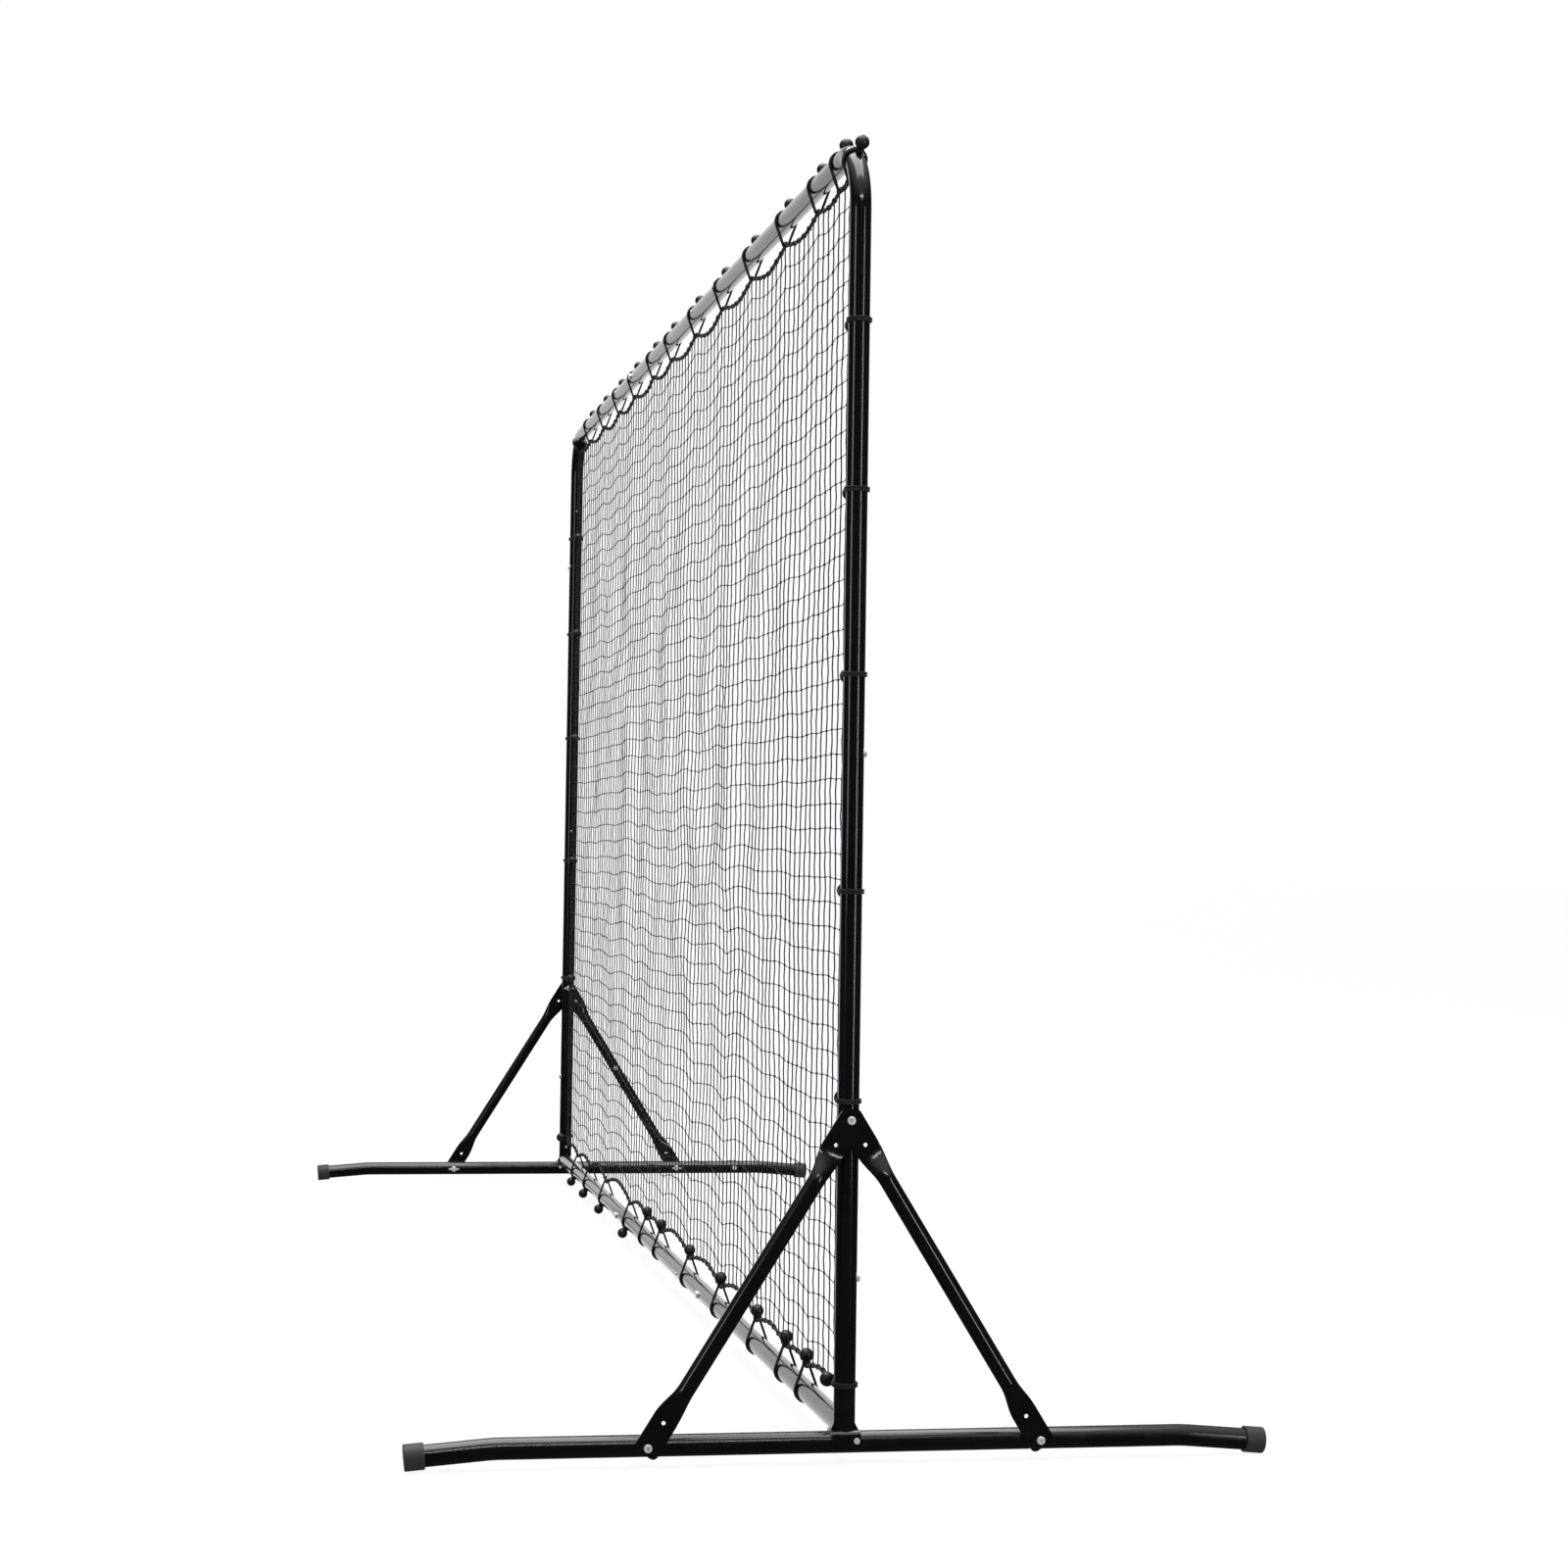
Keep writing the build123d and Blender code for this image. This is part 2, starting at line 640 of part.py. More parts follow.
def side_bungees(sign):
    cords, balls = [], []
    for share in side_stations:
        height = bottom_rail_height + share * (top_rail_height - bottom_rail_height)
        place = (sign * half_width, 0, height)
        inset = side_rope_inset(height)
        cords.append(bungee_belt(place, (-sign, 0, 0), (0, 0, 1), inset))
        seat = near_ball(inset) if height < bottom_rail_height + 2 * rope_corner else inner_ball(inset)
        balls.append(bungee_ball(place, (-sign, 0, 0), (0, -1, 0), *seat))
    return cords, balls


# The whole rebounder

def frame_nodes():
    nodes = {}
    top = rail_lengths(corner_leg, top_rail_height)
    bottom = rail_lengths(bottom_stub, bottom_rail_height)
    for name, upper, lower in zip(("right", "middle", "left"), top, bottom):
        nodes[f"top_rail_{name}"] = upper
        nodes[f"bottom_rail_{name}"] = lower
    for name, sign in SIDES.items():
        nodes[f"top_corner_{name}"] = top_corner(sign)
        nodes[f"upright_upper_{name}"] = upright(sign, upright_seam, corner_seam - joint_gap)
        nodes[f"upright_lower_{name}"] = upright(sign, corner_seat, upright_seam)
        upper = (corner_seam - lower_reach, corner_seam + sleeve_reach)
        middle = (upright_seam - sleeve_reach, upright_seam + upper_reach)
        nodes[f"upright_sleeve_top_{name}"] = upright_sleeve(sign, *upper)
        nodes[f"upright_sleeve_mid_{name}"] = upright_sleeve(sign, *middle)
        nodes[f"bottom_corner_{name}"] = bottom_corner(sign)
        nodes[f"foot_{name}"] = foot(sign)
        for end_name, end in ENDS.items():
            nodes[f"foot_cap_{end_name}_{name}"] = foot_cap(sign, end)
    nodes["top_rail_sleeves"] = Compound(children=rail_sleeves(top_rail_height) + corner_sleeves())
    nodes["bottom_rail_sleeves"] = Compound(children=rail_sleeves(bottom_rail_height))
    return nodes


def brace_nodes():
    nodes = {}
    point = spare_brace_seat()
    for name, sign in SIDES.items():
        nodes[f"brace_front_{name}"] = sided(brace(ENDS["front"], plate_layer), sign)
        nodes[f"brace_rear_{name}"] = sided(brace(ENDS["rear"], 0), sign)
        nodes[f"top_bolt_head_{name}"] = sided(top_bolt_head(), sign)
        nodes[f"wing_nut_top_{name}"] = sided(wing_nut(0, brace_top_height), sign)
        for end_name, end in ENDS.items():
            nut = wing_nut(end * brace_foot_place, foot_height)
            nodes[f"wing_nut_{end_name}_{name}"] = sided(nut, sign)
    hole_ends = moved(point, OUT, -section_grip), moved(point, OUT, section_grip)
    nodes["brace_rear_left"] -= rod(*hole_ends, section_bolt_radius)
    nodes["spare_bolt_brace"] = spare_bolt(point, 0)
    return nodes


def fastener_nodes():
    signs = list(SIDES.values())
    heights = (top_rail_height, bottom_rail_height)
    bolts = [f for sign in signs for f in upright_bolts(sign)]
    bolts += [f for height in heights for f in rail_bolts(height)]
    buttons = [f for sign in signs for f in upright_buttons(sign)]
    buttons += [f for height in heights for f in rail_buttons(height)]
    foot_bolts = [sided(foot_bolt(end), sign) for sign in signs for end in ENDS.values()]
    foot_seat = (-half_width, spare_bolt_place, foot_height)
    return {
        "section_bolts": Compound(children=[section_bolt(*f) for f in bolts]),
        "spring_buttons": Compound(children=[spring_button(*f) for f in buttons]),
        "saddle_bolts": Compound(children=saddle_bolts()),
        "saddle_nuts": Compound(children=saddle_nuts()),
        "foot_bolts": Compound(children=foot_bolts),
        "top_bolt_shanks": Compound(children=[sided(top_bolt_shank(), sign) for sign in signs]),
        "spare_bolt_foot": spare_bolt(foot_seat, tube_radius),
    }


def net_nodes():
    nodes = {"net": net(), "border_rope": border_rope()}
    groups = {"top": top_bungees(), "bottom": bottom_bungees()}
    groups |= {name: side_bungees(sign) for name, sign in SIDES.items()}
    for name, (cords, balls) in groups.items():
        nodes[f"bungee_cords_{name}"] = Compound(children=cords)
        nodes[f"bungee_balls_{name}"] = Compound(children=balls)
    return nodes


nodes = frame_nodes() | brace_nodes() | fastener_nodes() | net_nodes()
os.makedirs("parts", exist_ok=True)
for name, shape in nodes.items():
    export_step(shape, f"parts/{name}.step")
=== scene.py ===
import json
import math
import random

import bpy
import numpy as np
from mathutils import Matrix, Vector, noise


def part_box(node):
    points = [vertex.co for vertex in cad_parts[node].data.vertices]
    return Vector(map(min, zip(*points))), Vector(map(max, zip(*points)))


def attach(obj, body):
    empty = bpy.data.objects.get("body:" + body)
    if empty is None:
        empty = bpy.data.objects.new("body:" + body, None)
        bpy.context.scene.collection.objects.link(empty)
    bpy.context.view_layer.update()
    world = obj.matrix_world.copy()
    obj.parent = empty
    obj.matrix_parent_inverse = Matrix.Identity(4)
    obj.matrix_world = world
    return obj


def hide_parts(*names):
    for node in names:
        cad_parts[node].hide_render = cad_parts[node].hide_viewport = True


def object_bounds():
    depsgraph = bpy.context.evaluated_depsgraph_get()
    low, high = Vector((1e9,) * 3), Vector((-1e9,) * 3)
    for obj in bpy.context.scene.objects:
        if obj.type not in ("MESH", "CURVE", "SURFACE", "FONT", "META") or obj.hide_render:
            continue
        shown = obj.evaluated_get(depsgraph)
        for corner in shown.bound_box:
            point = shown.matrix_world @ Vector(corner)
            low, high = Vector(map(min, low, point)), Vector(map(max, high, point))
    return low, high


# Pitch back rebounder. Everything is in metres, +X along the net, +Z up.

# Camera
CAMERA_PLACE = (6.263, -1.0172, 1.0069)
CAMERA_TURN = 9.554  # degrees from looking along -X towards +Y
CAMERA_RISE = 2.149  # degrees up
CAMERA_ROLL = 0.917  # degrees
CAMERA_LENS = 64.89
CAMERA_SHIFT = (0.06, -0.0392)

# Soft parts
TUBE_RADIUS = 0.0175
ROPE_RADIUS = 0.003
ROPE_LAY = 0.020  # length of one turn of the rope's strands
ROPE_SWELL = 0.34  # how far the strands stand out, as a share of the radius
MEAN_LOBE = 0.64  # mean height of a strand, so that the rope keeps its radius
ROPE_STEP = 0.0026
ROPE_CORNER = 0.060
ROPE_SLACK = 0.0016  # out of the net's plane
CORD_RADIUS = 0.0020
CORD_APART = 0.0021  # each cord of a doubled bungee from the middle
CORD_BELLY = 0.0012  # the two cords' further spread halfway to the rope
CORD_WANDER = 0.0004
TUBE_STEPS = 24
RUN_STEPS = 6
TURN_STEPS = 8
BALL_RADIUS = 0.012
NECK_GAP = 0.0012
NECK_LOOP = (0.0062, 0.0058)
NECK_DROOP = 0.0035
ROW_RADIUS = 0.00085
COLUMN_RADIUS = 0.00125
STRAND_SLACK = 0.0011
TIE_RADIUS = 0.0010
TIE_PITCH = 0.0021
KNOT_RADIUS = 0.0023
MESH_COLUMNS = 86
MESH_ROWS = 48
RAIL_BOW = 0.070  # depth of the rope's bow between two bungees, as a share of their spacing
SIDE_BOW = 0.020
BOW_UNEVEN = 0.35  # how much two bows differ
BOW_SHAPE = 1.8
BOW_BLEND = 40  # smoothing passes where rail bows meet side bows
BOW_REACH = 0.55  # how far a bow carries on into the net, up and down
SIDE_REACH = 0.25  # the same, sideways
EDGE_BAND = 0.11  # a point of the rope this near an edge belongs to it
FLOOR_DROP = 0.0005

rng = random.Random(7)
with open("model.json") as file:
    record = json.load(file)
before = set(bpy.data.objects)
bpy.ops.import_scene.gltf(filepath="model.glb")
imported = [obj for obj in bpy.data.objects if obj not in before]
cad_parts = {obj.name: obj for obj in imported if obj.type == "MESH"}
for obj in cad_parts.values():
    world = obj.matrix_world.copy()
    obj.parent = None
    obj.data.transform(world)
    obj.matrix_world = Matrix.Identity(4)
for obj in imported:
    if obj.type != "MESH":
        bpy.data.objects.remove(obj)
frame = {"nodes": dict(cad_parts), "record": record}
cad_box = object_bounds()


# Materials

class Nodes:
    """Short calls for building one material's nodes."""

    def __init__(self, name):
        self.material = bpy.data.materials.new(name)
        self.material.use_nodes = True
        self.tree = self.material.node_tree
        self.shader = self.tree.nodes["Principled BSDF"]
        self.place = self.tree.nodes.new("ShaderNodeTexCoord")

    def link(self, source, target):
        self.tree.links.new(source, target)

    def math(self, operation, a, b=0.0):
        node = self.tree.nodes.new("ShaderNodeMath")
        node.operation = operation
        for socket, value in zip(node.inputs, (a, b)):
            if isinstance(value, (int, float)):
                socket.default_value = value
            else:
                self.link(value, socket)
        return node.outputs[0]

    def noise(self, scale, detail=4.0, rough=0.55, stretch=None, coords="Object"):
        node = self.tree.nodes.new("ShaderNodeTexNoise")
        node.inputs["Scale"].default_value = scale
        node.inputs["Detail"].default_value = detail
        node.inputs["Roughness"].default_value = rough
        source = self.place.outputs[coords]
        if stretch:
            mapping = self.tree.nodes.new("ShaderNodeMapping")
            mapping.inputs["Scale"].default_value = stretch
            self.link(source, mapping.inputs["Vector"])
            source = mapping.outputs[0]
        self.link(source, node.inputs["Vector"])
        return node.outputs["Fac"]

    def ramp(self, factor, low, high, start=0.35, end=0.65):
        """Colours or grey values from low to high as factor goes from start to end."""
        node = self.tree.nodes.new("ShaderNodeValToRGB")
        for stop, place, value in zip(node.color_ramp.elements, (start, end), (low, high)):
            stop.position = place
            colour = value if isinstance(value, tuple) else (value,) * 3
            stop.color = (*colour, 1.0)
        self.link(factor, node.inputs["Fac"])
        return node.outputs["Color"]

    def mix(self, factor, a, b):
        node = self.tree.nodes.new("ShaderNodeMix")
        node.data_type = "RGBA"
        self.link(factor, node.inputs["Factor"])
        for socket, value in ((node.inputs[6], a), (node.inputs[7], b)):
            if isinstance(value, tuple):
                socket.default_value = (*value, 1.0)
            else:
                self.link(value, socket)
        return node.outputs[2]

    def bump(self, height, strength, distance):
        node = self.tree.nodes.new("ShaderNodeBump")
        node.inputs["Strength"].default_value = strength
        node.inputs["Distance"].default_value = distance
        self.link(height, node.inputs["Height"])
        previous = self.shader.inputs["Normal"].links
        if previous:
            self.link(previous[0].from_socket, node.inputs["Normal"])
        self.link(node.outputs[0], self.shader.inputs["Normal"])

    def finish(self, colour, roughness, **values):
        self.link(colour, self.shader.inputs["Base Color"])
        self.link(roughness, self.shader.inputs["Roughness"])
        for name, value in values.items():
            self.shader.inputs[name.replace("_", " ")].default_value = value
        return self.material


def black_tube():
    """Gloss powder coat: fine orange peel, faint cloudiness, and a few dull rubbed spots."""
    n = Nodes("black_powder_coat")
    cloud = n.noise(7.0, 5.0)
    rubbed = n.noise(38.0, 6.0, 0.7)
    colour = n.ramp(cloud, (0.0008, 0.0013, 0.0021), (0.0018, 0.0026, 0.0038))
    colour = n.mix(n.ramp(rubbed, 0.0, 1.0, 0.68, 0.80), colour, (0.006, 0.007, 0.008))
    gloss = n.ramp(rubbed, 0.14, 0.24, 0.45, 0.78)
    n.bump(n.noise(420.0, 2.0), 0.03, 0.0003)
    n.bump(n.noise(60.0, 3.0), 0.008, 0.002)
    return n.finish(colour, gloss, Specular_IOR_Level=0.5, Coat_Weight=0.25, Coat_Roughness=0.06)


def sleeve_steel():
    """Bare drawn tube with long draw marks."""
    n = Nodes("drawn_steel")
    marks = n.noise(300.0, 3.0, 0.6, (1.0, 1.0, 0.05))
    n.bump(marks, 0.2, 0.0002)
    colour = n.ramp(marks, (0.05, 0.05, 0.052), (0.11, 0.11, 0.115))
    return n.finish(colour, n.ramp(marks, 0.35, 0.6), Metallic=1.0)


def zinc():
    """Bright zinc plate with patchy passivation and fine tool marks."""
    n = Nodes("zinc_plate")
    patch = n.noise(160.0, 4.0)
    marks = n.noise(1500.0, 2.0, 0.5, (1.0, 1.0, 0.1))
    n.bump(marks, 0.25, 0.0001)
    colour = n.ramp(patch, (0.76, 0.77, 0.79), (0.92, 0.92, 0.91))
    return n.finish(colour, n.ramp(patch, 0.26, 0.44), Metallic=0.6)


def cap_plastic():
    """Matt moulded plastic with a fine pebble grain and pale scuffs."""
    n = Nodes("cap_plastic")
    grain = n.noise(900.0, 3.0)
    scuff = n.noise(55.0, 6.0, 0.75)
    colour = n.ramp(grain, (0.016, 0.018, 0.021), (0.030, 0.033, 0.037))
    colour = n.mix(n.ramp(scuff, 0.0, 1.0, 0.62, 0.78), colour, (0.055, 0.058, 0.062))
    n.bump(grain, 0.35, 0.0004)
    return n.finish(colour, n.ramp(scuff, 0.62, 0.45), Specular_IOR_Level=0.4)


def ball_plastic():
    """Moulded ball: satin black with a little haze and fine scratches."""
    n = Nodes("ball_plastic")
    haze = n.noise(90.0, 5.0)
    scratch = n.noise(700.0, 3.0, 0.6, (1.0, 0.08, 1.0))
    colour = n.ramp(haze, (0.004, 0.0042, 0.0046), (0.011, 0.0115, 0.012))
    n.bump(scratch, 0.12, 0.0002)
    return n.finish(colour, n.ramp(haze, 0.28, 0.45), Specular_IOR_Level=0.45)


def braid(name, around, along, dark, light, depth, sheen, crossed=True):
    """Braided cord, or twisted if not crossed: diagonals from the piece's UV map, u round it, v along it.
    Its colour carries painted shade in the weave's grooves and painted highlight on its crowns.
    """
    n = Nodes(name)
    split = n.tree.nodes.new("ShaderNodeSeparateXYZ")
    n.link(n.place.outputs["UV"], split.inputs[0])
    turn = n.math("MULTIPLY", split.outputs[0], around * 2 * math.pi)
    run = n.math("MULTIPLY", split.outputs[1], 2 * math.pi / along)
    right = n.math("SINE", n.math("ADD", turn, run))
    left = n.math("SINE", n.math("SUBTRACT", turn, run)) if crossed else 1.0
    weave = n.math("ADD", n.math("MULTIPLY", n.math("MULTIPLY", right, left), 0.5), 0.5)
    fuzz = n.noise(2200.0, 3.0)
    # Painted shade and highlight: the colour runs from dark in the weave's grooves to light on its crowns,
    # with 30% random fibre fuzz mixed in.
    height = n.math("ADD", n.math("MULTIPLY", weave, 0.7), n.math("MULTIPLY", fuzz, 0.3))
    colour = n.ramp(height, dark, light, 0.1, 0.9)
    n.bump(weave, 0.6, depth)
    n.bump(fuzz, 0.3, depth / 3)
    return n.finish(colour, n.ramp(fuzz, 0.62, 0.85), Sheen_Weight=sheen, Sheen_Roughness=0.4,
                    Specular_IOR_Level=0.3)


def bungee_cord():
    dark, light = (0.0015, 0.0015, 0.0017), (0.012, 0.012, 0.013)
    return braid("braided_elastic", 8, 0.0032, dark, light, 0.0003, 0.15)


def border_rope():
    dark, light = (0.0012, 0.0012, 0.0014), (0.010, 0.010, 0.011)
    return braid("laid_rope", 12, 0.0040, dark, light, 0.0003, 0.12)


def net_twine():
    dark, light = (0.0012, 0.0012, 0.0014), (0.009, 0.009, 0.010)
    return braid("net_twine", 3, 0.0030, dark, light, 0.0002, 0.10, crossed=False)


MAKERS = {
    "black_tube": black_tube,
    "sleeve_steel": sleeve_steel,
    "zinc": zinc,
    "cap": cap_plastic,
    "ball": ball_plastic,
    "bungee_cord": bungee_cord,
    "border_rope": border_rope,
    "net_twine": net_twine,
}
MATERIALS = {name: make() for name, make in MAKERS.items()}


def paint_frame():
    """Every CAD node gets the material of its slot in the record."""
    for part in frame["record"]["subparts"]:
        slots = frame["nodes"][part["node"]].data.materials
        slots.clear()
        slots.append(MATERIALS[part["material_slot"]])


# Meshes

def tangents(points, closed):
    if closed:
        along = np.roll(points, -1, 0) - np.roll(points, 1, 0)
    else:
        along = np.gradient(points, axis=0)
    return along / np.linalg.norm(along, axis=1)[:, None]


class Sweep:
    """Tubes along many paths, gathered into one mesh with a UV map."""

    def __init__(self, sides):
        self.sides = sides
        self.points, self.faces, self.uvs, self.count = [], [], [], 0

    def add(self, path, radius, reference, closed=False, lobes=0, lay=1.0, swell=0.0):
        """radius is one number or one for each point. lobes, lay and swell shape a laid rope's strands."""
        path = np.asarray(path, float)
        along = tangents(path, closed)
        side = np.asarray(reference, float) - (along @ np.asarray(reference, float))[:, None] * along
        side /= np.linalg.norm(side, axis=1)[:, None]
        up = np.cross(along, side)
        steps = np.linalg.norm(np.diff(path, axis=0), axis=1)
        run = np.concatenate(([0.0], np.cumsum(steps)))
        angle = np.linspace(0, 2 * np.pi, self.sides, endpoint=False)
        size = np.broadcast_to(np.asarray(radius, float), (len(path),))[:, None] * np.ones(self.sides)
        if lobes:
            turn = angle[None] - 2 * np.pi * run[:, None] / lay
            size = size * (1 + swell * (np.abs(np.cos(lobes / 2 * turn)) - MEAN_LOBE))
        ring = np.cos(angle)[None, :, None] * side[:, None] + np.sin(angle)[None, :, None] * up[:, None]
        self.points.append((path[:, None] + ring * size[:, :, None]).reshape(-1, 3))
        self.join(run, len(path), closed)

    def join(self, run, count, closed):
        rings = np.arange(count if closed else count - 1)
        m = np.arange(self.sides)
        following = (rings + 1) % count
        a = rings[:, None] * self.sides + m
        b = rings[:, None] * self.sides + (m + 1) % self.sides
        c = following[:, None] * self.sides + (m + 1) % self.sides
        d = following[:, None] * self.sides + m
        self.faces.append(np.stack((a, b, c, d), -1).reshape(-1, 4) + self.count)
        run = np.append(run, run[-1] + (run[-1] - run[-2]))
        u0, v0 = np.meshgrid(m / self.sides, run[rings])
        u1, v1 = np.meshgrid((m + 1) / self.sides, run[rings + 1])
        self.uvs.append(np.stack((u0, v0, u1, v0, u1, v1, u0, v1), -1).reshape(-1, 2))
        self.count += count * self.sides

    def piece(self, name, slot, body, replaced=()):
        mesh = bpy.data.meshes.new(name)
        mesh.from_pydata(np.concatenate(self.points).tolist(), [], np.concatenate(self.faces).tolist())
        uv = np.concatenate(self.uvs).astype(np.float32).ravel()
        mesh.uv_layers.new(name="around").data.foreach_set("uv", uv)
        mesh.polygons.foreach_set("use_smooth", np.ones(len(mesh.polygons), bool))
        mesh.materials.append(MATERIALS[slot])
        return place(name, mesh, slot, body, replaced)


def place(name, mesh, slot, body, replaced=()):
    made = bpy.data.objects.new(name, mesh)
    bpy.context.scene.collection.objects.link(made)
    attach(made, body)
    if replaced:
        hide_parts(*replaced)
    return made


def islands(node):
    """The separate solids of a CAD node, as arrays of points."""
    mesh = frame["nodes"][node].data
    parent = list(range(len(mesh.vertices)))

    def root(i):
        while parent[i] != i:
            parent[i] = parent[parent[i]]
            i = parent[i]
        return i

    first = {}
    for v in mesh.vertices:
        key = tuple(round(c, 6) for c in v.co)
        parent[v.index] = root(first.setdefault(key, v.index))
    for a, b in (e.vertices for e in mesh.edges):
        parent[root(a)] = root(b)
    groups = {}
    for v in mesh.vertices:
        groups.setdefault(root(v.index), []).append(tuple(v.co))
    return [np.array(g) for g in groups.values()]


# Bungees

class Bungee:
    """Where one bungee goes: read from the CAD belt round tube and rope, and the CAD ball nearest to it."""

    def __init__(self, belt, balls):
        middle = (belt.min(0) + belt.max(0)) / 2
        spread = np.linalg.eigh(np.cov((belt - belt.mean(0)).T))[1]
        self.along = spread[:, 0]
        self.across = np.array([0.0, 1.0, 0.0])
        self.inward = np.cross(self.along, self.across)
        self.inward /= np.linalg.norm(self.inward)
        reach = (belt - middle) @ self.inward
        depths = [np.ptp(belt[end > 0.6 * reach.max()][:, 1]) for end in (reach, -reach)]
        if depths[0] > depths[1]:  # the deeper end is the tube's
            self.inward, reach = -self.inward, -reach
        self.tube = middle + self.inward * (reach.min() + TUBE_RADIUS + 2 * CORD_RADIUS)
        self.rope = middle + self.inward * (reach.max() - ROPE_RADIUS - 2 * CORD_RADIUS)
        self.ball = min(balls, key=lambda b: np.linalg.norm(b - self.tube))

    def loop(self):
        """Closed line of the cord's middle: round the tube, along to the rope, round it and back."""
        big, small = TUBE_RADIUS + CORD_RADIUS, ROPE_RADIUS + CORD_RADIUS
        distance = float(np.linalg.norm(self.rope - self.tube))
        start = math.pi / 2 - math.asin((big - small) / distance)
        points = []
        for k in range(TUBE_STEPS + 1):
            turn = start + (2 * math.pi - 2 * start) * k / TUBE_STEPS
            points.append(self.at(big * math.cos(turn), big * math.sin(turn)))
        low = self.at(distance + small * math.cos(-start), small * math.sin(-start))
        points += [points[-1] + (low - points[-1]) * k / RUN_STEPS for k in range(1, RUN_STEPS)]
        for k in range(TURN_STEPS + 1):
            turn = -start + 2 * start * k / TURN_STEPS
            points.append(self.at(distance + small * math.cos(turn), small * math.sin(turn)))
        points += [points[-1] + (points[0] - points[-1]) * k / RUN_STEPS for k in range(1, RUN_STEPS)]
        return np.array(points)

    def at(self, inward, across):
        return self.tube + self.inward * inward + self.across * across


def bungees(name):
    balls = [(b.min(0) + b.max(0)) / 2 for b in islands("bungee_balls_" + name)]
    return [Bungee(b, balls) for b in islands("bungee_cords_" + name)]


def add_cords(sweep, bungee):
    """Two cords side by side, and the loop that hooks over the ball's neck."""
    line = bungee.loop()
    from_tube = np.linalg.norm(line - bungee.tube, axis=1)
    loose = np.clip((from_tube - TUBE_RADIUS - CORD_RADIUS) / 0.02, 0, 1)
    for side in (1, -1):
        wander = np.array([noise.noise(Vector(p) * 55 + Vector((side * 9, 0, 0))) for p in line])
        offset = side * CORD_APART + wander * CORD_WANDER + side * CORD_BELLY * np.sin(loose * np.pi)
        sweep.add(line + bungee.along[None] * offset[:, None], CORD_RADIUS, bungee.along, closed=True)
    out = bungee.ball - nearest_on(line, bungee.ball)
    out /= np.linalg.norm(out)
    side = np.cross(out, bungee.along)
    neck = bungee.ball - out * (BALL_RADIUS + NECK_GAP)
    angle = np.linspace(0, 2 * np.pi, 20, endpoint=False)
    cosine, sine = np.cos(angle)[:, None], np.sin(angle)[:, None]
    ring = neck + cosine * bungee.along * NECK_LOOP[0] + sine * side * NECK_LOOP[1]
    sweep.add(ring + NECK_DROOP * np.clip(cosine, 0, 1) * out, CORD_RADIUS, out, closed=True)


def nearest_on(line, point):
    return line[np.argmin(np.linalg.norm(line - point, axis=1))]


def ball_form():
    """Profile of a bungee ball: round, with a collar at its neck, a moulding line and a dimpled crown."""
    profile = [(0.0, -1.10), (0.34, -1.10), (0.40, -1.02), (0.42, -0.93)]
    for k in range(13):
        angle = math.radians(-62 + (62 + 66) * k / 12)
        bulge = 1.02 if k == 6 else 1.0
        profile.append((math.cos(angle) * bulge, math.sin(angle)))
    profile += [(0.34, 0.945), (0.30, 0.95), (0.26, 0.90), (0.22, 0.80), (0.0, 0.76)]
    return np.array(profile) * BALL_RADIUS


def turned(profile, sides):
    """Points and faces of a profile of (radius, height) turned about Z, with single points on the axis."""
    points, rings = [], []
    for radius, height in profile:
        count = 1 if radius == 0 else sides
        rings.append(list(range(len(points), len(points) + count)))
        angles = [2 * math.pi * m / sides for m in range(count)]
        points += [(radius * math.cos(a), radius * math.sin(a), height) for a in angles]
    faces = []
    for low, high in zip(rings, rings[1:]):
        for m in range(sides):
            n = (m + 1) % sides
            face = (low[m % len(low)], low[n % len(low)], high[n % len(high)], high[m % len(high)])
            faces.append(tuple(dict.fromkeys(face)))
    return points, faces


def add_balls(name, found):
    points, faces = turned(ball_form(), 24)
    all_points, all_faces = [], []
    for bungee in found:
        out = Vector(bungee.ball - nearest_on(bungee.loop(), bungee.ball)).normalized()
        turn = out.to_track_quat("Z", "Y").to_matrix()
        start = len(all_points)
        all_points += [turn @ Vector(p) + Vector(bungee.ball) for p in points]
        all_faces += [tuple(i + start for i in f) for f in faces]
    mesh = bpy.data.meshes.new("balls_" + name)
    mesh.from_pydata(all_points, [], all_faces)
    mesh.polygons.foreach_set("use_smooth", np.ones(len(mesh.polygons), bool))
    mesh.materials.append(MATERIALS["ball"])
    return place("balls_" + name, mesh, "ball", "frame", ["bungee_balls_" + name])


def make_bungees():
    found = []
    for name in ("top", "bottom", "left", "right"):
        group = bungees(name)
        sweep = Sweep(10)
        for bungee in group:
            add_cords(sweep, bungee)
        sweep.piece("cords_" + name, "bungee_cord", "frame", ["bungee_cords_" + name])
        add_balls(name, group)
        found += group
    return found


# Border rope and net

def rope_frame():
    """Half width, low and high of the border rope's centre line."""
    low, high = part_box("border_rope")
    return high.x - ROPE_RADIUS, low.z + ROPE_RADIUS, high.z - ROPE_RADIUS


